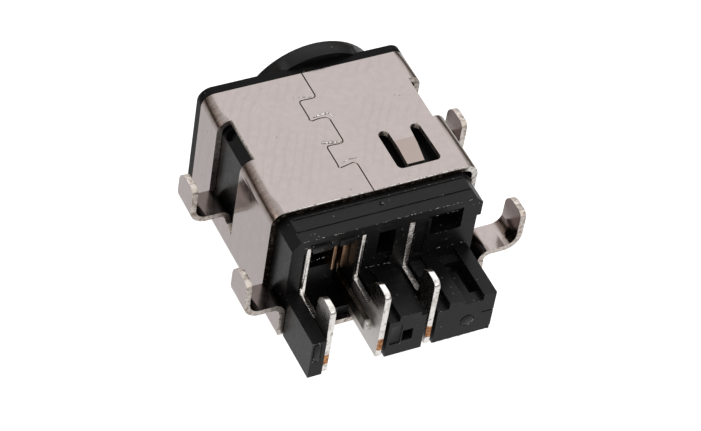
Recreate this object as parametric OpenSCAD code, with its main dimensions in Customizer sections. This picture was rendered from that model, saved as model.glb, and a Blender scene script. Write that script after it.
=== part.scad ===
// DC barrel jack for mid-mount soldering in a board cut-out.
// Frame: the plug axis is the Y axis and points out of the mouth (+Y), +Z is up, towards the board,
// and Y = 0 is the plane where the flange meets the front edge of the shield shell.

/* [Shield shell] */
// Outer width of the folded shell
shell_w = 12; // [11.8:0.1:12.6]
// Outer height of the folded shell
shell_h = 7.27; // [7.2:0.01:7.4]
// Thickness of the shell sheet
sheet = 0.33; // [0.3:0.01:0.34]
// Outer radius of the four long folds
fold_r = 0.75; // [0.6:0.05:0.9]
// Depth of the top and the upper side walls, front to rear
top_depth = 9.17; // [9.1:0.01:9.3]
// Depth of the floor and the lower side walls, front to rear
floor_depth = 11.41; // [11.35:0.01:11.5]
// Distance from the left side's outer face to the plug axis
axis_from_left = 7.15; // [7.05:0.01:7.25]
// Width of the gap along the dovetailed top seam
seam_gap = 0.07; // [0.05:0.01:0.12]

/* [Solder tabs of the shell] */
// Height of the shelf's underside above the floor's outer face
shelf_z = 2.4; // [2.35:0.01:2.5]
// Front to rear width of each tab
tab_w = 1.72; // [1.6:0.01:1.76]
// Distance from a side wall's outer face to a prong's outer face
tab_reach = 2.14; // [2.0:0.01:2.3]
// Height of the prong tips above the floor's outer face
prong_z = 4.99; // [4.8:0.01:5.2]
// Pitch of the front and rear tabs
tab_pitch = 7.06; // [7:0.01:7.1]
// Inner radius of the bend between shelf and prong
bend_r = 0.67; // [0.5:0.01:0.8]

/* [Housing and rear block] */
// Thickness of the front flange
flange_t = 0.54; // [0.5:0.01:0.6]
// Outer diameter of the round collar
collar_d = 8.34; // [8.2:0.01:8.4]
// Reach of the collar in front of the shell
collar_y = 1.45; // [1.4:0.01:1.6]
// Diameter of the plug bore
bore_d = 5.7; // [5.6:0.05:5.8]
// Depth of the plug bore from the collar's front
bore_depth = 9.5; // [9:0.1:9.6]
// Clearance between the housing and the shell
gap = 0.03; // [0.02:0.01:0.04]
// How far the rear block's rear face stands behind the flange plane
block_depth = 11.05; // [11:0.01:11.1]
// Rear end of the three legs
leg_y = 14.56; // [14.4:0.01:14.6]

/* [Contacts] */
// Thickness of the terminal blades
blade_t = 0.35; // [0.3:0.01:0.36]
// Outer diameter of the centre sleeve
sleeve_d = 2.9; // [2.85:0.01:2.95]
// Inner diameter of the centre sleeve
sleeve_id = 2.2; // [2.1:0.05:2.3]
// Outer diameter of the signal socket
socket_d = 1.5; // [1.4:0.05:1.6]
// Bore of the signal socket
socket_id = 1.05; // [1:0.01:1.1]
// Thickness of the earth spring strip
spring_t = 0.2; // [0.15:0.01:0.22]

/* [Hidden] */
$fn = 64;
e = 0.01;
zb = -shell_h / 2;
window_front = 2.11;
window_rear = 5.14;
window_top_in = 0.8;
seam_x = 5.81;
wall_r = 0.38;
tab_rear_y = 11.35;
blade_rear = 14.43;
blade_front = 9.0;
run_z = 2.84;
high_z = 6.22;
tip_z = 5.04;
foot_z = 0.36;
t1 = 1.2;
t2 = 4.34;
t3 = 7.18;
axz = shell_h / 2;
left_in = sheet + gap;
right_in = shell_w - sheet - gap;
body_top = shell_h - sheet - gap;
joint_y = collar_y - bore_depth;

// Moves shapes given from the shell's left face and floor to the plug-axis frame.
module from_corner() translate([-axis_from_left, 0, zb]) children();

// A box given by its low and high corners.
module span(a, b) translate(a) cube([b[0] - a[0], b[1] - a[1], b[2] - a[2]]);

// A rectangle with four equal round corners, from its low corner.
module rrect(w, h, r) {
    translate([r, 0]) square([w - 2 * r, h]);
    translate([0, r]) square([w, h - 2 * r]);
    for (x = [r, w - r], y = [r, h - r]) translate([x, y]) circle(r);
}

// A flat XZ shape extruded along Y from y0 to y1.
module along_y(y0, y1) translate([0, y1, 0]) rotate([90, 0, 0]) linear_extrude(y1 - y0) children();

// A flat YZ shape extruded along X from x0 to x1.
module along_x(x0, x1) translate([x0, 0, 0]) rotate([90, 0, 90]) linear_extrude(x1 - x0) children();

// A tube along Y.
module tube_y(d, id, y0, y1) along_y(y0, y1) difference() { circle(d = d); circle(d = id); }

// A quarter ring: centre c, inner radius r, thickness t, in the quadrant given by the signs.
module quarter_ring(c, r, t, sx, sz) translate(c) intersection() {
    difference() { circle(r + t); circle(r); }
    translate([sx > 0 ? 0 : -(r + t), sz > 0 ? 0 : -(r + t)]) square(r + t);
}

// The section of one left tab: wall stub, shelf and prong.
module tab_section() {
    shelf_in = -(tab_reach - sheet - bend_r);
    translate([0, shelf_z - wall_r - 0.3]) square([sheet, 0.3 + e]);
    quarter_ring([-wall_r, shelf_z - wall_r], wall_r, sheet, 1, 1);
    translate([shelf_in - e, shelf_z]) square([-wall_r - shelf_in + 2 * e, sheet]);
    quarter_ring([shelf_in, shelf_z + sheet + bend_r], bend_r, sheet, -1, -1);
    translate([-tab_reach, shelf_z + sheet + bend_r - e]) square([sheet, prong_z - shelf_z - sheet - bend_r + e]);
}

// One left tab, its rear edge at y = -rear, with a rounded tip.
module tab(rear) intersection() {
    along_y(-rear, -rear + tab_w) tab_section();
    along_x(-tab_reach - 1, sheet + 1) union() {
        translate([-rear, 0]) square([tab_w, prong_z - 0.8]);
        translate([-rear + 0.4, 0]) square([tab_w - 0.4 - 0.8, prong_z]);
        translate([-rear + 0.4, prong_z - 0.4]) circle(0.4);
        translate([-rear, 0]) square([tab_w * 0.5, prong_z - 0.4]);
        translate([-rear + tab_w - 0.8, prong_z - 0.8]) circle(0.8);
    }
}

// Both sides of a shape drawn on the left.
module both_sides() { children(); translate([shell_w, 0, 0]) mirror([1, 0, 0]) children(); }

// Outline of the U-shaped slot around the top tongue.
module u_outline() {
    polygon([[7.74, -5.65], [8.36, -5.65], [8.42, -7.85], [7.74, -7.88]]);
    polygon([[9.62, -5.65], [10.22, -5.65], [10.28, -7.88], [9.42, -7.85]]);
    translate([8.05, -5.65]) circle(0.31);
    translate([9.92, -5.65]) circle(0.3);
    translate([8.04, -8.18]) square([1.94, 0.35]);
    for (x = [8.04, 9.98]) translate([x, -7.88]) circle(0.3);
}

// The U-shaped slot, cut through the top of the shell.
module u_slot() translate([0, 0, shell_h - sheet - 0.5]) linear_extrude(2) u_outline();

// The free end of the tongue, bent a little inwards.
module tongue_end() intersection() {
    along_x(8.2, 9.8) polygon([[-6.6 + 0.02, shell_h - sheet], [-6.6 + 0.02, shell_h], [-6.6, shell_h],
        [-7.83, shell_h - 0.17], [-7.83, shell_h - sheet - 0.17], [-6.6, shell_h - sheet]]);
    translate([0, 0, 5]) linear_extrude(4) polygon([[8.38, -6], [9.6, -6], [9.421, -7.85], [8.42, -7.85]]);
}

// Points along the seam's centre line, from the front edge to the rear edge.
seam_points = [[seam_x, 1], [seam_x, -1.74], [seam_x - 0.06, -1.87], [seam_x - 0.2, -1.93], [4.95, -1.9],
    [4.84, -1.94], [4.78, -2.06], [4.78, -3.2], [4.74, -3.37], [4.84, -3.49], [5.33, -3.42], [5.68, -3.47],
    [seam_x, -3.64], [seam_x, -5.28], [seam_x - 0.06, -5.42], [seam_x - 0.2, -5.48], [4.95, -5.44], [4.83, -5.48],
    [4.78, -5.6], [4.78, -6.86], [4.75, -7.03], [4.86, -7.11], [5.24, -7.03], [5.62, -6.95], [5.78, -7.06],
    [seam_x, -7.24], [seam_x, -top_depth - 1]];

// The seam: two dovetail fingers with rounded corners.
module seam() translate([0, 0, shell_h - sheet - 0.5]) linear_extrude(1.5) {
    for (i = [0:len(seam_points) - 2]) {
        a = seam_points[i];
        d = seam_points[i + 1] - a;
        translate(a) rotate(atan2(d[1], d[0])) translate([0, -seam_gap / 2]) square([norm(d), seam_gap]);
    }
    for (i = [1:len(seam_points) - 2]) translate(seam_points[i]) circle(seam_gap / 2);
}

// The shield shell: one folded sheet with its seam on top and four solder tabs.
module shield_shell() color([0.74, 0.70, 0.68]) from_corner() {
    difference() {
        union() {
            along_y(-floor_depth, 0) difference() {
                rrect(shell_w, shell_h, fold_r);
                translate([sheet, sheet]) rrect(shell_w - 2 * sheet, shell_h - 2 * sheet, fold_r - sheet);
            }
        }
        // open rear: above the lower side walls
        span([-1, -floor_depth - 1, shelf_z - wall_r], [shell_w + 1, -top_depth, shell_h + 1]);
        // side windows, each running up over the fold
        both_sides() {
            span([-1, -window_rear, shelf_z - wall_r], [window_top_in, -window_front, shell_h + 1]);
            along_x(-1, sheet + 0.5) polygon([[-window_rear, shelf_z], [-window_rear, 1.77], [-window_rear + 0.18, 1.77],
                [-tab_rear_y + tab_pitch - 0.22, 2.05], [-tab_rear_y + tab_pitch, 2.25], [-tab_rear_y + tab_pitch, shelf_z]]);
        }
        // rounded lower rear corners of the floor's side walls
        for (x = [-1, shell_w - 0.8]) translate([x, -floor_depth, 0]) difference() {
            translate([0, -0.1, -0.1]) cube([1.8, 0.7, 0.7]);
            translate([-1, 0.6, 0.6]) rotate([0, 90, 0]) cylinder(r = 0.6, h = 4);
        }
        u_slot();
        seam();
        span([8.3, -8, 5], [9.7, -6.6, 8]);
    }
    tongue_end();
    both_sides() {
        tab(tab_rear_y);
        tab(tab_rear_y - tab_pitch);
    }
}

// Solid form of both mouldings before their hollows are cut.
module body_solid() {
    along_y(-block_depth, 0) intersection() {
        translate([sheet + gap, sheet + gap]) rrect(shell_w - 2 * (sheet + gap), shell_h - 2 * (sheet + gap), fold_r - sheet);
        polygon([[0, 0], [shell_w, 0], [shell_w, body_top - 0.55 + gap + sheet - shell_w + right_in],
            [right_in, body_top - 0.55], [right_in - 0.55, body_top], [left_in + 0.55, body_top], [left_in, body_top - 0.55], [0, body_top - 0.55]]);
    }
    along_y(0, flange_t) rrect(shell_w, shell_h, fold_r);
    translate([axis_from_left, 0, axz]) along_y(flange_t - 0.1, collar_y) circle(d = collar_d);
    // left leg, its corner rounded where it lies in the shell's fold
    span([sheet + gap, -leg_y, foot_z], [1.17, -floor_depth - 0.05, 2.97]);
    intersection() {
        span([sheet + gap, -floor_depth - 0.1, foot_z], [1.17, -block_depth + 0.5, 2.97]);
        along_y(-floor_depth - 0.2, -block_depth + 1) translate([sheet + gap, sheet + gap]) rrect(5, 5, fold_r - sheet);
    }
    // middle leg with its raised pad
    span([4.8, -leg_y, foot_z], [6.95, -block_depth + 0.5, 2.95]);
    span([5.37, -leg_y, 2.5], [6.62, -block_depth + 0.5, 3.28]);
    // right leg with two ribs
    span([7.62, -leg_y, foot_z], [11.02, -block_depth + 0.5, 2.86]);
    along_y(-leg_y, -block_depth + 0.5) polygon([[8.26, 2.5], [8.26, 3.3], [9.2, 3.14], [9.2, 2.5]]);
    span([10.28, -leg_y, 2.5], [11.02, -block_depth + 0.5, 3.24]);
    // low front step of the right leg, beside the channel
    span([7.62, -12.1, 2.5], [8.26, -block_depth + 0.5, 3.05]);
    // flash tab that hangs over the rear cavity
    span([1.5, -block_depth - 0.14, 5.32], [2.05, -block_depth + 0.4, 6.35]);
    span([2.05, -block_depth - 0.14, 5.52], [2.6, -block_depth + 0.4, 6.35]);
    span([3.1, -block_depth - 0.1, 5.72], [4.0, -block_depth + 0.4, 6.35]);
    // fine ridge along the top, just behind the shell
    span([1.1, -9.5, 6.5], [10.9, -9.38, body_top + 0.05]);
}

// The form of both black mouldings with every hollow cut.
module body() difference() {
    body_solid();
    // plug bore, open to the front
    translate([axis_from_left, 0, axz]) along_y(collar_y - bore_depth, collar_y + 1) circle(d = bore_d);
    // lead-in at the mouth
    translate([axis_from_left, collar_y + e, axz]) rotate([90, 0, 0]) cylinder(h = 0.4, r1 = bore_d / 2 + 0.4, r2 = bore_d / 2);
    // hole that the centre contact stack is pressed through
    translate([axis_from_left, 0, axz]) along_y(-9.45, collar_y - bore_depth + 1) circle(d = sleeve_d - 0.4);
    // room for the foot of the centre terminal behind the sleeve
    span([4.28, -9.4, 2.7], [7.13, -8.98, 4.6]);
    // spring cavity, open to the rear
    span([1.1, -block_depth - 1, 3.05], [4.25, -3.0, 5.95]);
    // lower part of the cavity, shallower, down to a low sill
    span([t1 + blade_t + 0.02, -block_depth - 1, 0.95], [4.25, -9.7, 3.2]);
    // window between the cavity and the bore
    span([4.0, -7.4, 3.1], [5.2, -3.6, 5.6]);
    // slots that hold the three blades
    for (x = [t1, t2, t3]) span([x - 0.02, -block_depth - 1, foot_z - 0.5], [x + blade_t + 0.02, -blade_front + 0.02, high_z + 0.02]);
    // slot for the tail of the earth spring
    span([3.84, -block_depth - 1, 1.62], [4.25, -8.7, 3.2]);
    // moulding pockets in the rear face
    span([5.4, -block_depth - 1, 4.04], [6.4, -9.3 - 0.15, 6.1]);
    span([5.05, -block_depth - 1, 3.25], [6.3, -block_depth + 0.35, 4.04]);
    span([8.45, -block_depth - 1, 4.9], [10.31, -9.3, 6.2]);
    // shallow panel in the rear face between the blade slot and the right pocket
    span([7.62, -block_depth - 1, 3.5], [8.3, -block_depth + 0.12, 6.05]);
    span([8.3, -block_depth - 1, 6.2], [10.31, -block_depth + 0.1, 6.42]);
    // narrow channel in the right leg, beside its outer rib
    span([9.78, -leg_y + 0.7, 2.25], [10.28, -11.6, 2.9]);
    span([9.2, -12.3, 2.55], [9.8, -11.6, 2.9]);
    // square hole in the middle leg
    span([5.66, -leg_y - 1, 1.3], [6.28, -leg_y + 1.6, 2.12]);
    // set-back right side, with a lug left at the upper rear corner
    span([11.2, -block_depth - 1, -1], [13, -9.6, 5.5]);
    span([11.42, -block_depth - 1, -1], [13, -9.3, 8]);
    along_y(-block_depth - 1, -9.3) polygon([[11.5, 6.38], [10.9, 6.98], [12, 7.2], [12, 6.38]]);
    // lower rear strip of the top
    span([-1, -block_depth - 1, body_top - 0.05], [13, -10.31, 8]);
    // dimple of the gate in the top
    translate([5.95, -9.85, body_top - 0.14]) cylinder(r = 0.15, h = 1);
    // room under the shell's tongue
    span([7.55, -8.4, body_top - 0.5], [10.45, -5.25, 8]);
    // core holes seen through the side windows
    for (s = [0, 1]) translate([s * shell_w, 0, 0]) mirror([s, 0, 0])
        translate([0.62, -2.56, 6.62]) rotate([0, -45, 0]) translate([0, 0, -0.55]) cylinder(r = 0.34, h = 2);
    // shallow step in the rear face of the middle leg, and the groove in that of the left leg
    span([4.95, -leg_y - 1, 1.2], [5.6, -leg_y + 0.07, 2.6]);
    translate([0.45, 0, 1.5]) along_y(-leg_y - 1, -leg_y + 0.07) difference() {
        rrect(0.5, 1.36, 0.2);
        translate([0.07, 0.07]) rrect(0.36, 1.22, 0.13);
    }
    // low step, round mark and short line in the rear face of the right leg
    span([7.5, -leg_y - 1, 0], [9.5, -leg_y + 0.05, 0.74]);
    span([9.5 - e, -leg_y - 1, 0], [12, -leg_y + 0.05, 0.66]);
    translate([9.5, -leg_y + 0.06, 1.55]) rotate([90, 0, 0]) difference() { cylinder(r = 0.42, h = 1); cylinder(r = 0.35, h = 3, center = true); }
    span([10.3, -leg_y - 1, 1.86], [12, -leg_y + 0.06, 1.94]);
    // edge line across the left leg's top
    span([-1, -11.92, 2.92], [1.1, -11.86, 4]);
}

// Front housing: flange, collar and the walls round the plug bore, which runs right through it.
module front_housing() color([0.11, 0.11, 0.115]) from_corner() intersection() {
    body();
    span([-1, joint_y, -1], [13, collar_y + 1, 10]);
}

// Rear block: closes the plug bore, holds the contacts, and has the three legs.
module rear_block() color([0.11, 0.11, 0.115]) from_corner() intersection() {
    body();
    span([-1, -leg_y - 1, -1], [13, joint_y, 10]);
}

// Tube that the inside of the plug's barrel slides over.
module centre_sleeve() color([0.80, 0.77, 0.70]) {
    tube_y(sleeve_d, sleeve_id, collar_y - bore_depth, 0.45);
    tube_y(sleeve_d - 0.4, sleeve_id, -8.95, collar_y - bore_depth + e);
}

// Plastic tube between the sleeve and the signal socket.
module insulating_bush() color([0.85, 0.84, 0.80]) tube_y(sleeve_id, socket_d, -8.95, 0.3);

// Slotted socket for the plug's thin centre pin.
module signal_socket() color([0.82, 0.70, 0.42]) difference() {
    union() {
        tube_y(socket_d, socket_id, -8.97, 0.1);
        along_y(-8.97, -8.3) circle(d = socket_d);
    }
    span([-0.08, -3.5, -2], [0.08, 1, 2]);
}

// A blade from sheet: high part in its slot, low run, and a rear prong pointing up.
module blade(x) {
    along_x(x, x + blade_t) difference() {
        union() {
            translate([-11.02, foot_z]) square([11.02 - blade_front, high_z - foot_z]);
            translate([-blade_rear, foot_z]) square([blade_rear - 11.02 + e, run_z - foot_z]);
            translate([-blade_rear, foot_z]) square([1.5, tip_z - 0.72 - foot_z]);
            translate([-blade_rear, foot_z]) square([0.9, tip_z - 0.42 - foot_z]);
            translate([-blade_rear + 0.42, foot_z]) square([1.5 - 0.42 - 0.72, tip_z - foot_z]);
            translate([-blade_rear + 0.42, tip_z - 0.42]) circle(0.42);
            translate([-blade_rear + 1.5 - 0.72, tip_z - 0.72]) circle(0.72);
            translate([-blade_rear + 1.5 - e, run_z - e]) square([0.3, 0.3]);
        }
        translate([-blade_rear + 1.8, run_z + 0.3]) circle(0.3);
    }
}

// Chamfer along the rear left edge of a blade's high part.
module edge_chamfer(x) translate([0, 0, run_z + 0.3]) linear_extrude(5)
    polygon([[x - 0.1, -11.2], [x + 0.15, -11.2], [x + 0.15, -11.02], [x, -10.8], [x - 0.1, -10.8]]);

// Left terminal: its arm runs forward in the cavity to the earth spring.
module terminal_left() color([0.78, 0.77, 0.75]) from_corner() {
    difference() { blade(t1); edge_chamfer(t1); }
    span([t1, -blade_front - e, 3.7], [t1 + blade_t, -3.95, 5.3]);
    span([t1, -4.3, 3.7], [3.3, -3.95, 5.3]);
}

// Centre terminal: its foot is bent across to the rear end of the sleeve.
module terminal_centre() color([0.78, 0.77, 0.75]) from_corner() difference() {
    union() {
        difference() { blade(t2); edge_chamfer(t2); }
        span([t2, -9.35, 2.75], [6.9, -9.0, 4.55]);
    }
    translate([axis_from_left, 0, axz]) along_y(-10, -8) circle(d = sleeve_id + 0.1);
}

// Right terminal: its front edge meets the closed rear end of the signal socket.
module terminal_right() color([0.78, 0.77, 0.75]) from_corner() blade(t3);

// Earth spring: a hairpin strip with a hump into the bore and a tail to the rear.
module earth_spring() color([0.62, 0.42, 0.28]) from_corner() {
    // outer leg and front fold
    span([3.3, -10.3, 3.2], [3.3 + spring_t, -3.9, 5.5]);
    translate([3.7, -3.9, 3.2]) intersection() {
        difference() { cylinder(r = 0.4, h = 2.3); translate([0, 0, -1]) cylinder(r = 0.4 - spring_t, h = 4.5); }
        translate([-1, 0, -1]) cube([2, 1, 4]);
    }
    // inner leg: straight ends and a hump made of arcs that touches the plug's barrel
    span([3.9, -4.4, 3.2], [3.9 + spring_t, -3.9 + e, 5.5]);
    span([3.9, -10.3, 3.2], [3.9 + spring_t, -6.6, 5.5]);
    translate([3.52, -5.5, 3.2]) intersection() {
        difference() { cylinder(r = 1.3, h = 2.3); translate([0, 0, -1]) cylinder(r = 1.3 - spring_t, h = 4.5); }
        translate([0.38, -2, -1]) cube([3, 4, 4]);
    }
    // rear end of the inner leg, folded double
    span([3.84, -10.3, 3.4], [4.23, -9.1, 5.5]);
    // tail below the inner leg
    span([3.9, -9.9, 1.7], [4.2, -8.8, 3.6]);
    span([3.9, -13.4, 1.7], [4.2, -8.8, 2.45]);
    along_x(3.9, 4.2) translate([-13.4, 2.075]) circle(0.375);
}

shield_shell();
front_housing();
rear_block();
centre_sleeve();
insulating_bush();
signal_socket();
earth_spring();
terminal_left();
terminal_centre();
terminal_right();
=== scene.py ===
import math
import random

import bmesh
import bpy
from mathutils import Euler, Matrix, Vector


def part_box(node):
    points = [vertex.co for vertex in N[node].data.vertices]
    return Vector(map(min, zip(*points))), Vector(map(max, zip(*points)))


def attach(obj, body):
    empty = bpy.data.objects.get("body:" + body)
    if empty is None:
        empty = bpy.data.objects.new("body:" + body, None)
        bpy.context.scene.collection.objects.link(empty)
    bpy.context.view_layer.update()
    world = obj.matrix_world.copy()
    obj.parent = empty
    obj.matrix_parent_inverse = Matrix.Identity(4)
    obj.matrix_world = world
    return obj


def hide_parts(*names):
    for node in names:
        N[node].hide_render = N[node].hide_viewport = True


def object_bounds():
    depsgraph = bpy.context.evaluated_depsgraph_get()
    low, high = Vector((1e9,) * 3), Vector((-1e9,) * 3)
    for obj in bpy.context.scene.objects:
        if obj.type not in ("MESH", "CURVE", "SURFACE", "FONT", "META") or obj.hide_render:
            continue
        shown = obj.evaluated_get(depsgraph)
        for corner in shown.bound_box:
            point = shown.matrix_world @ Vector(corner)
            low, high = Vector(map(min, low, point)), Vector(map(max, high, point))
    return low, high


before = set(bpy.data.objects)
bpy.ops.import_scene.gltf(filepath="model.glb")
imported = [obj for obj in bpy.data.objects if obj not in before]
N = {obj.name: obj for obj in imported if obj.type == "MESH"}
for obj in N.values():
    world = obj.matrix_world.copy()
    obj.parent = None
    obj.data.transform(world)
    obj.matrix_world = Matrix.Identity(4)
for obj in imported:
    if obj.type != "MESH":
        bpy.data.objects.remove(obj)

cad_lo, cad_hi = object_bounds()
MM = 0.001
SHELL_LO, SHELL_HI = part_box("shield_shell")
LEFT = -7.15          # outer face of the shell's left side, mm from the plug axis
FLOOR = -3.635        # outer face of the shell's floor


def P(x, y, z):
    """A point given from the shell's left face and floor, in metres in the row frame."""
    return Vector(((LEFT + x) * MM, y * MM, (FLOOR + z) * MM))


# ---------------------------------------------------------------- camera
cam_data = bpy.data.cameras.new("camera")
cam_data.sensor_width = 36.0
cam_data.lens = 164.337
cam_data.clip_start = 0.005
cam_data.clip_end = 10.0
cam = bpy.data.objects.new("camera", cam_data)
cam.location = (-0.064634, -0.107314, 0.121689)
cam.rotation_euler = Euler((0.763217, -0.122400, -0.437408), "XYZ")
bpy.context.scene.collection.objects.link(cam)
bpy.context.scene.camera = cam


# ---------------------------------------------------------------- material helpers
class G:
    """A small builder for one material's node graph."""

    def __init__(self, name):
        self.m = bpy.data.materials.new(name)
        self.m.use_nodes = True
        self.t = self.m.node_tree
        self.t.nodes.clear()
        self.out = self.t.nodes.new("ShaderNodeOutputMaterial")
        self.b = self.t.nodes.new("ShaderNodeBsdfPrincipled")
        self.t.links.new(self.b.outputs["BSDF"], self.out.inputs["Surface"])
        self.co = self.t.nodes.new("ShaderNodeTexCoord").outputs["Object"]
        self.nrm = self.t.nodes.new("ShaderNodeNewGeometry").outputs["Normal"]

    def node(self, kind, **kw):
        n = self.t.nodes.new(kind)
        for k, v in kw.items():
            setattr(n, k, v)
        return n

    def put(self, sock, v):
        if isinstance(v, bpy.types.NodeSocket):
            self.t.links.new(v, sock)
        elif v is not None:
            sock.default_value = v

    def math(self, op, a, b=None, c=None, clamp=False):
        n = self.node("ShaderNodeMath", operation=op, use_clamp=clamp)
        self.put(n.inputs[0], a)
        if b is not None:
            self.put(n.inputs[1], b)
        if c is not None:
            self.put(n.inputs[2], c)
        return n.outputs[0]

    def scaled(self, s, vec=None):
        n = self.node("ShaderNodeVectorMath", operation="MULTIPLY")
        self.put(n.inputs[0], vec or self.co)
        n.inputs[1].default_value = s
        return n.outputs[0]

    def noise(self, scale, detail=2.0, rough=0.5, vec=None, stretch=None, distortion=0.0):
        n = self.node("ShaderNodeTexNoise")
        v = vec or self.co
        if stretch:
            v = self.scaled(stretch, v)
        self.put(n.inputs["Vector"], v)
        n.inputs["Scale"].default_value = scale
        n.inputs["Detail"].default_value = detail
        n.inputs["Roughness"].default_value = rough
        n.inputs["Distortion"].default_value = distortion
        return n.outputs["Fac"]

    def voronoi(self, scale, feature="F1", vec=None, randomness=1.0):
        n = self.node("ShaderNodeTexVoronoi", feature=feature)
        self.put(n.inputs["Vector"], vec or self.co)
        n.inputs["Scale"].default_value = scale
        n.inputs["Randomness"].default_value = randomness
        return n.outputs["Distance"]

    def ramp(self, v, lo, hi, a=0.0, b=1.0, smooth=False):
        n = self.node("ShaderNodeMapRange", clamp=True)
        if smooth:
            n.interpolation_type = "SMOOTHSTEP"
        self.put(n.inputs["Value"], v)
        n.inputs["From Min"].default_value = lo
        n.inputs["From Max"].default_value = hi
        n.inputs["To Min"].default_value = a
        n.inputs["To Max"].default_value = b
        return n.outputs["Result"]

    def mix(self, f, a, b):
        n = self.node("ShaderNodeMix", data_type="RGBA")
        self.put(n.inputs["Factor"], f)
        self.put(n.inputs["A"], a if isinstance(a, bpy.types.NodeSocket) else (*a, 1.0))
        self.put(n.inputs["B"], b if isinstance(b, bpy.types.NodeSocket) else (*b, 1.0))
        return n.outputs["Result"]

    def xyz(self, vec=None):
        n = self.node("ShaderNodeSeparateXYZ")
        self.put(n.inputs[0], vec or self.co)
        return n.outputs["X"], n.outputs["Y"], n.outputs["Z"]

    def bump(self, h, dist, strength=1.0, after=None):
        n = self.node("ShaderNodeBump")
        self.put(n.inputs["Height"], h)
        n.inputs["Distance"].default_value = dist
        n.inputs["Strength"].default_value = strength
        if after is not None:
            self.put(n.inputs["Normal"], after)
        return n.outputs["Normal"]

    def box_mask(self, lo, hi, soft=0.00003):
        """1 inside the box lo..hi (row frame, metres), 0 outside, with soft edges."""
        x, y, z = self.xyz()
        out = None
        for v, a, b in ((x, lo[0], hi[0]), (y, lo[1], hi[1]), (z, lo[2], hi[2])):
            m = self.math("MULTIPLY", self.ramp(v, a - soft, a + soft), self.ramp(v, b - soft, b + soft, 1.0, 0.0))
            out = m if out is None else self.math("MULTIPLY", out, m)
        return out

    def bend_mask(self):
        """1 where the surface looks between two of the main directions, as on a fold."""
        n = self.node("ShaderNodeVectorMath", operation="ABSOLUTE")
        self.put(n.inputs[0], self.nrm)
        x, y, z = self.xyz(n.outputs[0])
        m = self.math("MAXIMUM", x, self.math("MAXIMUM", y, z))
        return self.ramp(m, 0.995, 0.80)

    def set(self, **kw):
        for k, v in kw.items():
            self.put(self.b.inputs[k.replace("_", " ")], v)


def nickel(name, tone=(0.404, 0.354, 0.341), dark=(0.17, 0.125, 0.10), rough=0.15, fold_marks_and_shade=1.0):
    g = G(name)
    mottle = g.noise(2600, 4, 0.62)
    broad = g.noise(520, 3, 0.55)
    fine = g.noise(14000, 3, 0.6)
    brushed = g.noise(1.0, 3, 0.6, stretch=(9000, 1300, 9000))
    bend = g.bend_mask()
    hair = g.noise(1.0, 4, 0.75, stretch=(1900, 9000, 1900), distortion=0.6)
    patchy = g.ramp(g.noise(900, 2, 0.6), 0.36, 0.62, 0.5, 1.0)
    speck = g.ramp(g.voronoi(1700), 0.06, 0.11, 1.0, 0.0)
    speck_gate = g.ramp(g.noise(1100, 1), 0.57, 0.61)
    speck = g.math("MULTIPLY", speck, speck_gate)
    light = tuple(min(1.0, c * 1.045) for c in tone)
    base = g.mix(g.ramp(mottle, 0.34, 0.66), tuple(c * 0.955 for c in tone), light)
    base = g.mix(g.math("MULTIPLY", g.ramp(fine, 0.35, 0.75), 0.30), base, tuple(c * 0.88 for c in tone))
    # faint rubbed ripples, in patches
    wave = g.node("ShaderNodeTexWave", wave_type="BANDS", bands_direction="X", wave_profile="SIN")
    turned = g.node("ShaderNodeVectorRotate", rotation_type="Z_AXIS")
    g.put(turned.inputs["Vector"], g.co)
    turned.inputs["Angle"].default_value = 0.55
    g.put(wave.inputs["Vector"], turned.outputs["Vector"])
    wave.inputs["Scale"].default_value = 620.0
    wave.inputs["Distortion"].default_value = 5.0
    wave.inputs["Detail"].default_value = 2.0
    wave.inputs["Detail Scale"].default_value = 0.6
    rubbed = g.math("MULTIPLY", g.ramp(wave.outputs["Fac"], 0.55, 0.95), g.ramp(g.noise(330, 1), 0.46, 0.58))
    base = g.mix(g.math("MULTIPLY", rubbed, 0.32), base, tuple(c * 0.86 for c in tone))
    # painted shade on the folds: bands and hair-line streaks darken the bends where they show dark reflections;
    # the streaks also carry real striation marks
    band = g.math("MULTIPLY", bend, g.ramp(g.noise(1500, 4, 0.7), 0.30, 0.60, 0.30, 0.85 * fold_marks_and_shade))
    base = g.mix(band, base, tuple(0.5 * (a + b) * k for a, b, k in zip(tone, dark, (1.0, 0.92, 0.84))))
    fold_painted_shade = g.math("MULTIPLY", g.math("MULTIPLY", bend, patchy), g.ramp(hair, 0.42, 0.55, 0.0, 0.92 * fold_marks_and_shade))
    base = g.mix(fold_painted_shade, base, dark)
    base = g.mix(g.math("MULTIPLY", speck, 0.65), base, tuple(c * 0.35 for c in tone))
    # painted shade over the bent tongue of the U-slot, darker and browner
    tongue_shade = g.box_mask(((LEFT + 8.36) * MM, -0.0079, (-FLOOR - 0.25) * MM), ((LEFT + 9.64) * MM, -0.0062, (-FLOOR + 0.1) * MM), 0.00004)
    base = g.mix(g.math("MULTIPLY", tongue_shade, 0.9), base, tuple(c * k for c, k in zip(tone, (0.84, 0.78, 0.74))))
    g.set(Base_Color=base, Metallic=1.0)
    r = g.math("ADD", g.ramp(mottle, 0.3, 0.7, rough - 0.03, rough + 0.05), g.math("MULTIPLY", bend, -0.04))
    g.set(Roughness=r)
    h = g.bump(brushed, 1.0e-6, 0.5)
    h = g.bump(mottle, 3.6e-6, 0.5, h)
    h = g.bump(broad, 9e-6, 0.35, h)
    h = g.bump(g.math("MULTIPLY", hair, bend), 6e-6, 0.45 * fold_marks_and_shade, h)
    g.set(Normal=h)
    return g.m


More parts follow.
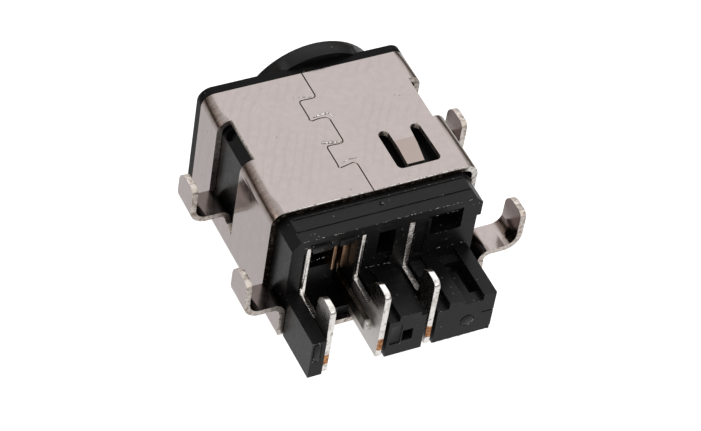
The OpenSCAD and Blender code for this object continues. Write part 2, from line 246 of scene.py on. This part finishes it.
def cut_edge(name):
    """Sheared edge of the plated sheet: brighter and rougher, with brown places where the base metal shows."""
    g = G(name)
    n1 = g.noise(5200, 3, 0.65)
    n2 = g.noise(1500, 2, 0.5)
    base = g.mix(g.ramp(n1, 0.46, 0.70), (0.66, 0.60, 0.56), (0.26, 0.20, 0.15))
    base = g.mix(g.ramp(n2, 0.54, 0.70, 0.0, 0.6), base, (0.11, 0.075, 0.05))
    g.set(Base_Color=base, Metallic=1.0, Roughness=g.ramp(n1, 0.3, 0.7, 0.30, 0.48))
    g.set(Normal=g.bump(n1, 9e-6, 0.6))
    return g.m


def black_plastic(name, base_v=0.0042, rough=0.33):
    g = G(name)
    wide = g.noise(420, 3, 0.55)
    grain = g.noise(9500, 3, 0.6)
    scratch = g.noise(1.0, 2, 0.6, stretch=(700, 9000, 5000))
    dust = g.ramp(g.voronoi(2600), 0.06, 0.13, 1.0, 0.0)
    dust = g.math("MULTIPLY", dust, g.ramp(g.noise(900, 1), 0.53, 0.58))
    c = base_v
    base = g.mix(g.ramp(wide, 0.35, 0.68), (c * 0.85, c * 0.83, c * 0.85), (c * 1.35, c * 1.27, c * 1.27))
    base = g.mix(g.math("MULTIPLY", g.ramp(scratch, 0.60, 0.72), 0.5), base, (c * 4.5, c * 4.3, c * 4.3))
    base = g.mix(g.math("MULTIPLY", dust, 0.75), base, (0.20, 0.19, 0.18))
    g.set(Base_Color=base, Roughness=g.ramp(grain, 0.3, 0.7, rough - 0.07, rough + 0.09))
    g.b.inputs["Specular IOR Level"].default_value = 0.20
    h = g.bump(grain, 4e-6, 0.5)
    h = g.bump(scratch, 5e-6, 0.4, h)
    h = g.bump(wide, 2.0e-5, 0.25, h)
    g.set(Normal=h)
    return g.m


def plastic_flash_edge_painted_highlight(name):
    """Broken edges of the moulding: bright dots and runs where the flash was torn, partly a painted highlight,
    black between.
    """
    g = G(name)
    dots = g.noise(5200, 2, 0.6)
    runs = g.noise(900, 2, 0.5)
    lit = g.math("MULTIPLY", g.ramp(dots, 0.47, 0.56), g.ramp(runs, 0.42, 0.52))
    base = g.mix(g.math("MULTIPLY", lit, 0.85), (0.0065, 0.0062, 0.0065), (0.52, 0.51, 0.50))
    g.set(Base_Color=base, Roughness=g.ramp(dots, 0.3, 0.7, 0.22, 0.34))
    g.b.inputs["Specular IOR Level"].default_value = 0.45
    g.set(Normal=g.bump(dots, 1.2e-5, 0.6))
    return g.m


def tinned(name, tone, rough, wavy=1.0, satin_and_painted_light=1.0):
    """Tin plate, slightly wavy."""
    g = G(name)
    mottle = g.noise(2300, 4, 0.6)
    wave = g.noise(1.0, 3, 0.6, stretch=(5000, 5000, 1600))
    base = g.mix(g.ramp(mottle, 0.32, 0.7), tuple(c * 0.90 for c in tone), tuple(c * 1.06 for c in tone))
    x, y, z = g.xyz()
    zz = g.math("ADD", z, g.math("MULTIPLY", g.math("SUBTRACT", g.noise(4200, 2), 0.5), 0.0003))
    # low part rougher as satin tin, and lighter in colour as painted light
    low = g.ramp(zz, (FLOOR + 3.55) * MM, (FLOOR + 3.38) * MM, 0.0, satin_and_painted_light)
    base = g.mix(low, base, g.mix(g.ramp(mottle, 0.32, 0.7), (0.60, 0.572, 0.552), (0.70, 0.667, 0.643)))
    g.set(Base_Color=base, Metallic=1.0)
    g.set(Roughness=g.math("ADD", g.ramp(mottle, 0.3, 0.7, rough, rough + 0.12), g.math("MULTIPLY", low, 0.24)))
    h = g.bump(wave, 5e-6 * wavy, 0.5)
    h = g.bump(mottle, 2e-6 * wavy, 0.4, h)
    g.set(Normal=h)
    return g.m


def blade_edge(name, crust=0.0):
    """Sheared blade edge: bright tin with pits, and bare copper in a strip low on the rear."""
    g = G(name)
    n1 = g.noise(4600, 3, 0.65)
    lumps = g.noise(1500, 2, 0.5)
    x, y, z = g.xyz()
    base = g.mix(g.ramp(n1, 0.56 - 0.07 * crust, 0.72 - 0.06 * crust), (0.90, 0.87, 0.84), (0.18, 0.15, 0.13))
    base = g.mix(g.ramp(lumps, 0.54, 0.60, 0.0, 0.40), base, (0.46, 0.40, 0.35))
    lo = (FLOOR + 0.92) * MM
    hi = (FLOOR + 1.70) * MM
    zz = g.math("ADD", z, g.math("MULTIPLY", g.math("SUBTRACT", g.noise(2500, 2), 0.5), 0.0006))
    band = g.math("MULTIPLY", g.ramp(zz, lo - 3e-5, lo + 3e-5), g.ramp(zz, hi - 3e-5, hi + 3e-5, 1.0, 0.0))
    band = g.math("MULTIPLY", band, g.ramp(y, -0.01432, -0.01436))
    base = g.mix(band, base, g.mix(g.ramp(n1, 0.38, 0.62), (0.62, 0.30, 0.13), (0.25, 0.10, 0.045)))
    g.set(Base_Color=base, Metallic=1.0, Roughness=g.ramp(n1, 0.3, 0.7, 0.14 + 0.10 * crust, 0.32 + 0.10 * crust))
    h = g.bump(lumps, 3.2e-5, 0.7)
    h = g.bump(n1, 1.0e-5 + 3.0e-5 * crust, 0.6 + 0.3 * crust, h)
    g.set(Normal=h)
    return g.m


def copper(name):
    """Bare copper alloy inside the housing; along the tail, grey plating made near black as painted shade, with a
    painted highlight at its end.
    """
    g = G(name)
    n1 = g.noise(1.0, 3, 0.6, stretch=(3000, 3000, 900))
    n2 = g.noise(1.0, 3, 0.6, stretch=(5000, 800, 5000))
    x, y, z = g.xyz()
    warm = g.mix(g.ramp(n1, 0.35, 0.65), (0.42, 0.24, 0.14), (0.62, 0.42, 0.28))
    # tail: grey plating darkened as painted shade
    tail = g.mix(g.ramp(n2, 0.38, 0.66), (0.030, 0.024, 0.018), (0.12, 0.10, 0.08))
    low = g.ramp(z, (FLOOR + 3.0) * MM, (FLOOR + 2.6) * MM)
    # painted highlight at the tail's end
    end = g.math("MULTIPLY", low, g.ramp(y, -0.01345, -0.01365))
    base = g.mix(low, warm, tail)
    base = g.mix(end, base, (0.62, 0.60, 0.57))
    g.set(Base_Color=base, Metallic=1.0, Roughness=g.ramp(n1, 0.3, 0.7, 0.24, 0.40))
    g.set(Normal=g.bump(n2, 5e-6, 0.5))
    return g.m


def plated(name, tone, rough=0.22):
    g = G(name)
    n1 = g.noise(1.0, 3, 0.6, stretch=(6000, 1200, 6000))
    n2 = g.noise(3000, 2)
    base = g.mix(g.ramp(n2, 0.35, 0.7), tuple(c * 0.9 for c in tone), tone)
    g.set(Base_Color=base, Metallic=1.0, Roughness=g.ramp(n1, 0.3, 0.7, rough - 0.05, rough + 0.08))
    g.set(Normal=g.bump(n1, 2e-6, 0.5))
    return g.m


def pale_plastic(name):
    g = G(name)
    n1 = g.noise(6000, 3)
    base = g.mix(g.ramp(n1, 0.3, 0.7), (0.62, 0.59, 0.52), (0.70, 0.67, 0.60))
    g.set(Base_Color=base, Roughness=g.ramp(n1, 0.3, 0.7, 0.42, 0.55))
    g.set(Normal=g.bump(n1, 3e-6, 0.4))
    return g.m


M_NICKEL = nickel("nickel_sheet")
M_CUT = cut_edge("nickel_cut_edge")


def shaded_cut(name):
    """Rear cut edge of the top: torn, made dark with painted shade, with a few brownish spots and painted
    highlights along its upper rim and at its right end.
    """
    g = G(name)
    n1 = g.noise(3800, 3, 0.65)
    x, y, z = g.xyz()
    # painted highlight: bright along the upper rim and at the right end
    lit = g.math("MAXIMUM", g.ramp(x, (LEFT + 11.15) * MM, (LEFT + 11.4) * MM),
                 g.ramp(z, (-FLOOR - 0.075) * MM, (-FLOOR - 0.045) * MM))
    base = g.mix(g.ramp(n1, 0.52, 0.70), (0.055, 0.042, 0.034), (0.34, 0.28, 0.23))
    base = g.mix(g.math("MULTIPLY", lit, g.ramp(n1, 0.62, 0.50, 0.25, 1.0)), base, (0.92, 0.88, 0.84))
    g.set(Base_Color=base, Metallic=1.0, Roughness=g.ramp(n1, 0.3, 0.7, 0.35, 0.55))
    g.set(Normal=g.bump(n1, 1.2e-5, 0.6))
    return g.m


M_CUT_PAINTED_SHADE = shaded_cut("nickel_torn_edge_painted_shade")


def burnished_with_painted_highlight(name):
    """Rounded rims of the blanked sheet, rubbed bright and brightened further as a painted highlight, with brown
    breaks.
    """
    g = G(name)
    n1 = g.noise(4300, 3, 0.65)
    base = g.mix(g.ramp(n1, 0.54, 0.70), (0.78, 0.70, 0.62), (0.30, 0.20, 0.13))
    g.set(Base_Color=base, Metallic=0.5, Roughness=g.ramp(n1, 0.3, 0.7, 0.32, 0.48))
    g.set(Normal=g.bump(n1, 9e-6, 0.5))
    return g.m


M_RIM = burnished_with_painted_highlight("nickel_burnished_rim_painted_highlight")

M_BLACK = black_plastic("black_plastic")
M_EDGE = plastic_flash_edge_painted_highlight("plastic_flash_edge_painted_highlight")
M_FLANGE = black_plastic("black_plastic_flange", 0.0036, 0.42)
M_FLANGE.node_tree.nodes["Principled BSDF"].inputs["Specular IOR Level"].default_value = 0.07
M_TIN = tinned("tinned_blade", (0.44, 0.41, 0.39), 0.20, 1.0, 0.0)
# the same tin made darker for the left blade: painted shade
M_TIN_PAINTED_SHADE = tinned("tinned_blade_painted_shade", (0.30, 0.28, 0.265), 0.20, 1.0, 0.0)
M_TIN_SATIN_PAINTED_LIGHT = tinned("tinned_blade_satin_painted_light", (0.44, 0.41, 0.39), 0.20)
M_BLADE_EDGE = blade_edge("tinned_blade_edge")
M_BLADE_CRUST = blade_edge("tinned_blade_rough_edge", 1.0)
M_SPRING = copper("spring_copper")
M_SLEEVE = plated("plated_tube", (0.66, 0.62, 0.56))
M_GOLD = plated("gold_contact", (0.78, 0.58, 0.26))
M_BUSH = pale_plastic("natural_plastic")


# ---------------------------------------------------------------- geometry helpers
def refined(node, name, mats, bevel=0.03, segments=2, pick=None, angle=28.0):
    """A finished piece over a CAD node: the same solid, its facets merged and its edges broken."""
    src = N[node].data
    bm = bmesh.new()
    bm.from_mesh(src)
    bmesh.ops.remove_doubles(bm, verts=bm.verts, dist=2e-7)
    bmesh.ops.dissolve_degenerate(bm, edges=bm.edges, dist=2e-7)
    bmesh.ops.dissolve_limit(bm, angle_limit=math.radians(0.6), verts=bm.verts, edges=bm.edges)
    me = bpy.data.meshes.new(name)
    bm.to_mesh(me)
    bm.free()
    for m in mats:
        me.materials.append(m)
    o = bpy.data.objects.new(name, me)
    bpy.context.scene.collection.objects.link(o)
    if bevel:
        b = o.modifiers.new("edge", "BEVEL")
        b.width = bevel * MM
        b.segments = segments
        b.limit_method = "ANGLE"
        b.angle_limit = math.radians(angle)
        b.use_clamp_overlap = True
        b.harden_normals = False
        dg = bpy.context.evaluated_depsgraph_get()
        done = bpy.data.meshes.new_from_object(o.evaluated_get(dg))
        o.modifiers.clear()
        o.data = done
        done.name = name
        me = done
    if pick:
        for p in me.polygons:
            p.material_index = pick(p.center / MM, p.normal, p.area / MM / MM)
    for p in me.polygons:
        p.use_smooth = True
    me.set_sharp_from_angle(angle=math.radians(40))
    wn = o.modifiers.new("normals", "WEIGHTED_NORMAL")
    wn.mode = "FACE_AREA"
    wn.weight = 100
    wn.keep_sharp = True
    dg = bpy.context.evaluated_depsgraph_get()
    done = bpy.data.meshes.new_from_object(o.evaluated_get(dg), preserve_all_data_layers=True, depsgraph=dg)
    o.modifiers.clear()
    o.data = done
    done.name = name
    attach(o, "root")
    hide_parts(node)
    return o


def shell_pick(c, n, a):
    """Cut edges of the sheet: faces that look along Y, or that close a window, slot or tip."""
    z = c.z - FLOOR
    x = c.x - LEFT
    # rear cut edge of the top: the painted-shade edge material
    if n.y < -0.9 and -9.3 < c.y < -9.0 and z > 2.6:
        return 2
    # bevelled rims: burnished material with its painted highlight
    if 0.25 < abs(n.y) < 0.93 and a < 0.9 and (abs(n.x) > 0.2 or abs(n.z) > 0.2):
        return 3
    if abs(n.y) > 0.75:
        return 1
    if 6.98 < z < 7.24 and abs(n.z) < 0.6 and 0.4 < x < 11.6:
        return 1
    if z > 4.93 and n.z > 0.7 and (x < 0 or x > 12):
        return 1
    return 0


def housing_pick(c, n, a):
    """The narrow bevels of the rear block and legs."""
    m = max(abs(n.x), abs(n.y), abs(n.z))
    # narrow rear bevels: edge material with painted highlight dots
    if m < 0.985 and a < 0.6 and c.y < -9.2:
        return 1
    if -0.05 < c.y < 0.6 and (n.z > 0.3 or abs(n.x) > 0.3) and a < 12 and max(abs(c.x - LEFT - 6) - 5, abs(c.z) - 2.8) > 0:
        return 2
    return 0


refined("shield_shell", "shell_finish", [M_NICKEL, M_CUT, M_CUT_PAINTED_SHADE, M_RIM], 0.065, 2, shell_pick)
for node, name in (("front_housing", "front_housing_finish"), ("rear_block", "rear_block_finish")):
    refined(node, name, [M_BLACK, M_EDGE, M_FLANGE], 0.045, 2, housing_pick)
def blade_pick(c, n, a):
    """Everything but the two broad faces is a sheared edge."""
    return 0 if abs(n.x) > 0.9 else 1


def crust_pick(c, n, a):
    """As blade_pick, with a crusted high part and low run."""
    if abs(n.x) > 0.9:
        return 0
    return 2 if c.y > -12.95 else 1


refined("terminal_left", "blade_left", [M_TIN_PAINTED_SHADE, M_BLADE_EDGE], 0.05, 3, blade_pick)
refined("terminal_centre", "blade_centre", [M_TIN_SATIN_PAINTED_LIGHT, M_BLADE_EDGE], 0.05, 3, blade_pick)
refined("terminal_right", "blade_right", [M_TIN, M_BLADE_EDGE, M_BLADE_CRUST], 0.05, 3, crust_pick)
refined("earth_spring", "spring_finish", [M_SPRING], 0.03, 2)
refined("centre_sleeve", "sleeve_finish", [M_SLEEVE], 0.08, 3)
refined("insulating_bush", "bush_finish", [M_BUSH], 0.05, 2)
refined("signal_socket", "socket_finish", [M_GOLD], 0.03, 2)

# ---------------------------------------------------------------- coined marks beside the seam
TOP = -FLOOR


def ridge_strip(bm, pts, w, h, mat, seed):
    """A thin raised burr along pts (mm from the left face and along Y) on the top sheet."""
    rnd = random.Random(seed)
    pts = [Vector((LEFT + x, y, TOP)) for x, y in pts]
    fine = []
    for a, b in zip(pts, pts[1:]):
        n = max(2, int((b - a).length / 0.06))
        fine += [a.lerp(b, i / n) for i in range(n)]
    fine.append(pts[-1])
    rings = []
    for i, p in enumerate(fine):
        d = (fine[min(i + 1, len(fine) - 1)] - fine[max(i - 1, 0)]).normalized()
        side = Vector((-d.y, d.x, 0))
        k = math.sin(math.pi * min(1.0, max(0.0, i / (len(fine) - 1)))) ** 0.35 if 0 < i < len(fine) - 1 else 0.25
        ww = w * k * rnd.uniform(0.75, 1.2)
        hh = h * k * rnd.uniform(0.6, 1.15)
        low = Vector((0, 0, -0.02))
        rings.append([bm.verts.new(q * MM) for q in
                      (p + side * ww / 2 + low, p + side * ww * 0.28 + Vector((0, 0, hh)),
                       p - side * ww * 0.28 + Vector((0, 0, hh)), p - side * ww / 2 + low)])
    for a, b in zip(rings, rings[1:]):
        for i in range(4):
            f = bm.faces.new((a[i], a[(i + 1) % 4], b[(i + 1) % 4], b[i]))
            f.material_index = mat
    for r, flip in ((rings[0], False), (rings[-1], True)):
        f = bm.faces.new(r[::-1] if not flip else r)
        f.material_index = mat


def solve(x, y):
    return (x * 12 / 11, (y - 8.405) * 12 / 11)


bm = bmesh.new()
ridge_strip(bm, [solve(4.55, 5.40), solve(5.05, 5.47), solve(5.46, 5.47), solve(5.51, 5.16)], 0.11, 0.05, 0, 3)
ridge_strip(bm, [solve(4.22, 3.67), solve(4.75, 3.57), solve(5.22, 3.48)], 0.13, 0.06, 0, 5)
ridge_strip(bm, [solve(4.40, 2.10), solve(5.05, 2.28), solve(5.44, 2.26), solve(5.53, 2.06)], 0.05, 0.02, 0, 7)
ridge_strip(bm, [solve(4.18, 6.95), solve(4.75, 6.83), solve(5.28, 6.67)], 0.04, 0.015, 0, 9)
# two short burrs in the painted-shade cut-edge material
ridge_strip(bm, [solve(4.30, 3.79), solve(4.52, 3.75)], 0.05, 0.02, 1, 11)
ridge_strip(bm, [solve(4.72, 3.70), solve(4.86, 3.68)], 0.05, 0.02, 1, 12)
# raised burr along the rear edge of the top, coloured bright as a painted highlight
ridge_strip(bm, [(0.85, -9.13), (5.74, -9.13)], 0.065, 0.014, 0, 21)
ridge_strip(bm, [(5.88, -9.13), (11.2, -9.13)], 0.065, 0.014, 0, 22)
bmesh.ops.recalc_face_normals(bm, faces=bm.faces)
me = bpy.data.meshes.new("seam_burrs")
bm.to_mesh(me)
bm.free()
# burr metal in dark and bright flecks; the bright flecks are a painted highlight
gb = G("nickel_burr_painted_highlight")
nb = gb.noise(7000, 2, 0.6)
gb.set(Base_Color=gb.mix(gb.ramp(nb, 0.40, 0.54), (0.20, 0.16, 0.14), (0.96, 0.94, 0.92)), Metallic=1.0,
       Roughness=gb.ramp(nb, 0.3, 0.7, 0.16, 0.34), Normal=gb.bump(nb, 8e-6, 0.5))
me.materials.append(gb.m)
me.materials.append(M_CUT_PAINTED_SHADE)
for p in me.polygons:
    p.use_smooth = True
burrs = bpy.data.objects.new("seam_burrs", me)
bpy.context.scene.collection.objects.link(burrs)
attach(burrs, "root")

# ---------------------------------------------------------------- torn flash on the moulding's edges, pale flakes partly a painted highlight
def flakes(bm, a, b, n, size, rnd, bright):
    """Small irregular lumps strung along the line a-b (mm from the left face, Y, floor)."""
    a = Vector((LEFT + a[0], a[1], FLOOR + a[2]))
    b = Vector((LEFT + b[0], b[1], FLOOR + b[2]))
    d = (b - a).normalized()
    up = Vector((0, 0, 1)) if abs(d.z) < 0.8 else Vector((1, 0, 0))
    side = d.cross(up).normalized()
    for i in range(n):
        c = a.lerp(b, rnd.random()) + side * rnd.uniform(-0.25, 0.25) * size + up * rnd.uniform(-0.2, 0.2) * size
        l = size * rnd.uniform(0.6, 3.2)
        w = size * rnd.uniform(0.35, 0.8)
        ring = []
        for k in range(6):
            t = k / 6 * 2 * math.pi + rnd.uniform(-0.3, 0.3)
            r = rnd.uniform(0.7, 1.1)
            ring.append(bm.verts.new((c + d * math.cos(t) * l * 0.5 * r + side * math.sin(t) * w * 0.5 * r) * MM))
        top = bm.verts.new((c + up * w * rnd.uniform(0.3, 0.6) + d * rnd.uniform(-0.2, 0.2) * l) * MM)
        low = bm.verts.new((c - up * w * 0.5) * MM)
        m = 1 if rnd.random() < bright else 0
        for k in range(6):
            bm.faces.new((ring[k], ring[(k + 1) % 6], top)).material_index = m
            bm.faces.new((ring[(k + 1) % 6], ring[k], low)).material_index = m


rnd = random.Random(21)
bm = bmesh.new()
TOPZ = 6.86
RY = -11.05
flakes(bm, (0.95, RY, TOPZ), (10.85, RY, TOPZ), 70, 0.055, rnd, 0.55)
flakes(bm, (0.95, RY, 6.36), (4.3, RY, 6.30), 30, 0.06, rnd, 0.45)
flakes(bm, (1.2, -9.45, 6.95), (10.8, -9.45, 6.95), 70, 0.04, rnd, 0.6)
flakes(bm, (1.45, -11.18, 5.36), (2.6, -11.18, 5.54), 14, 0.06, rnd, 0.4)
flakes(bm, (2.65, RY, 5.95), (4.25, RY, 5.95), 14, 0.05, rnd, 0.5)
flakes(bm, (4.72, RY, 6.2), (4.72, RY, 3.3), 16, 0.045, rnd, 0.5)
flakes(bm, (4.9, RY, 3.62), (7.0, RY, 3.42), 26, 0.055, rnd, 0.5)
flakes(bm, (5.05, RY, 4.3), (6.3, RY, 4.06), 10, 0.05, rnd, 0.4)
flakes(bm, (6.4, RY, 6.1), (6.4, RY, 4.1), 8, 0.045, rnd, 0.3)
flakes(bm, (7.56, RY, 6.2), (7.56, RY, 3.3), 14, 0.045, rnd, 0.4)
flakes(bm, (8.45, RY, 6.3), (10.31, RY, 6.25), 16, 0.05, rnd, 0.6)
flakes(bm, (8.45, RY, 4.88), (10.31, RY, 4.88), 12, 0.045, rnd, 0.5)
flakes(bm, (7.7, RY, 3.75), (11.1, RY, 3.6), 26, 0.055, rnd, 0.5)
flakes(bm, (11.16, RY, 6.5), (11.4, RY, 5.5), 8, 0.05, rnd, 0.5)
flakes(bm, (0.4, -14.56, 2.96), (1.15, -14.56, 2.96), 5, 0.04, rnd, 0.5)
flakes(bm, (5.38, -14.56, 3.27), (6.6, -14.56, 3.27), 8, 0.04, rnd, 0.5)
flakes(bm, (7.65, -14.56, 2.86), (11.0, -14.56, 3.2), 12, 0.05, rnd, 0.3)
flakes(bm, (7.65, -14.56, 0.42), (11.0, -14.56, 0.40), 16, 0.05, rnd, 0.5)
flakes(bm, (4.82, -14.56, 0.40), (6.9, -14.56, 0.40), 8, 0.045, rnd, 0.4)
bmesh.ops.recalc_face_normals(bm, faces=bm.faces)
me = bpy.data.meshes.new("mould_flash")
bm.to_mesh(me)
bm.free()
# pale grey torn plastic, its brightness partly a painted highlight along the edges
gp = G("plastic_torn_painted_highlight")
npn = gp.noise(9000, 2)
gp.set(Base_Color=gp.mix(gp.ramp(npn, 0.35, 0.65), (0.22, 0.215, 0.21), (0.55, 0.54, 0.53)), Roughness=gp.ramp(npn, 0.3, 0.7, 0.25, 0.45),
       Normal=gp.bump(npn, 4e-6, 0.5))
me.materials.append(M_BLACK)
me.materials.append(gp.m)
flash = bpy.data.objects.new("mould_flash", me)
bpy.context.scene.collection.objects.link(flash)
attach(flash, "root")

# ---------------------------------------------------------------- stage, light
me = bpy.data.meshes.new("floor")
s = 0.6
z0 = cad_lo[2] - 0.00002
me.from_pydata([(-s, -s, z0), (s, -s, z0), (s, s, z0), (-s, s, z0)], [], [(0, 1, 2, 3)])
floor = bpy.data.objects.new("floor", me)
bpy.context.scene.collection.objects.link(floor)
gf = G("floor_white")
gf.set(Base_Color=(0.30, 0.30, 0.30, 1.0), Roughness=0.9)
gf.b.inputs["Emission Color"].default_value = (1.0, 1.0, 1.0, 1.0)
gf.b.inputs["Emission Strength"].default_value = 1.0
me.materials.append(gf.m)
floor.visible_glossy = False


def area(name, loc, size, radiance, colour=(1, 1, 1), size_y=None):
    d = bpy.data.lights.new(name, "AREA")
    d.shape = "RECTANGLE"
    d.size = size
    d.size_y = size_y or size
    d.energy = radiance * math.pi * d.size * d.size_y
    d.color = colour
    o = bpy.data.objects.new(name, d)
    o.location = loc
    o.rotation_euler = (Vector((0, -0.004, 0)) - Vector(loc)).to_track_quat("-Z", "Y").to_euler()
    bpy.context.scene.collection.objects.link(o)
    return o


area("back_box", (0.13, 0.26, 0.27), 0.36, 0.43)
area("key_left", (-0.26, 0.02, 0.20), 0.14, 1.2)
area("front_fill", (0.10, -0.30, 0.12), 0.14, 0.9)

w = bpy.data.worlds.new("studio")
bpy.context.scene.world = w
w.use_nodes = True
wt = w.node_tree
wt.nodes.clear()
wo = wt.nodes.new("ShaderNodeOutputWorld")
wb = wt.nodes.new("ShaderNodeBackground")
wc = wt.nodes.new("ShaderNodeTexCoord")
ws = wt.nodes.new("ShaderNodeSeparateXYZ")
wr = wt.nodes.new("ShaderNodeValToRGB")
wt.links.new(wc.outputs["Generated"], ws.inputs[0])
wm = wt.nodes.new("ShaderNodeMapRange")
wm.inputs["From Min"].default_value = -1.0
wm.inputs["From Max"].default_value = 1.0
wt.links.new(ws.outputs["Z"], wm.inputs["Value"])
wt.links.new(wm.outputs["Result"], wr.inputs["Fac"])
el = wr.color_ramp.elements
el[0].position = 0.0
el[0].color = (0.88, 0.88, 0.88, 1)
el[1].position = 1.0
el[1].color = (1.0, 1.0, 1.0, 1)
for p, c in ((0.32, (0.86, 0.86, 0.86, 1)), (0.42, (0.60, 0.58, 0.56, 1)), (0.50, (0.12, 0.10, 0.09, 1)),
             (0.57, (0.14, 0.12, 0.105, 1)), (0.68, (0.55, 0.53, 0.52, 1)), (0.80, (0.92, 0.92, 0.92, 1))):
    x = el.new(p)
    x.color = c
wt.links.new(wr.outputs["Color"], wb.inputs["Color"])
wb.inputs["Strength"].default_value = 1.0
wt.links.new(wb.outputs[0], wo.inputs["Surface"])

bpy.context.scene.view_settings.view_transform = "Standard"
bpy.context.scene.view_settings.look = "None"
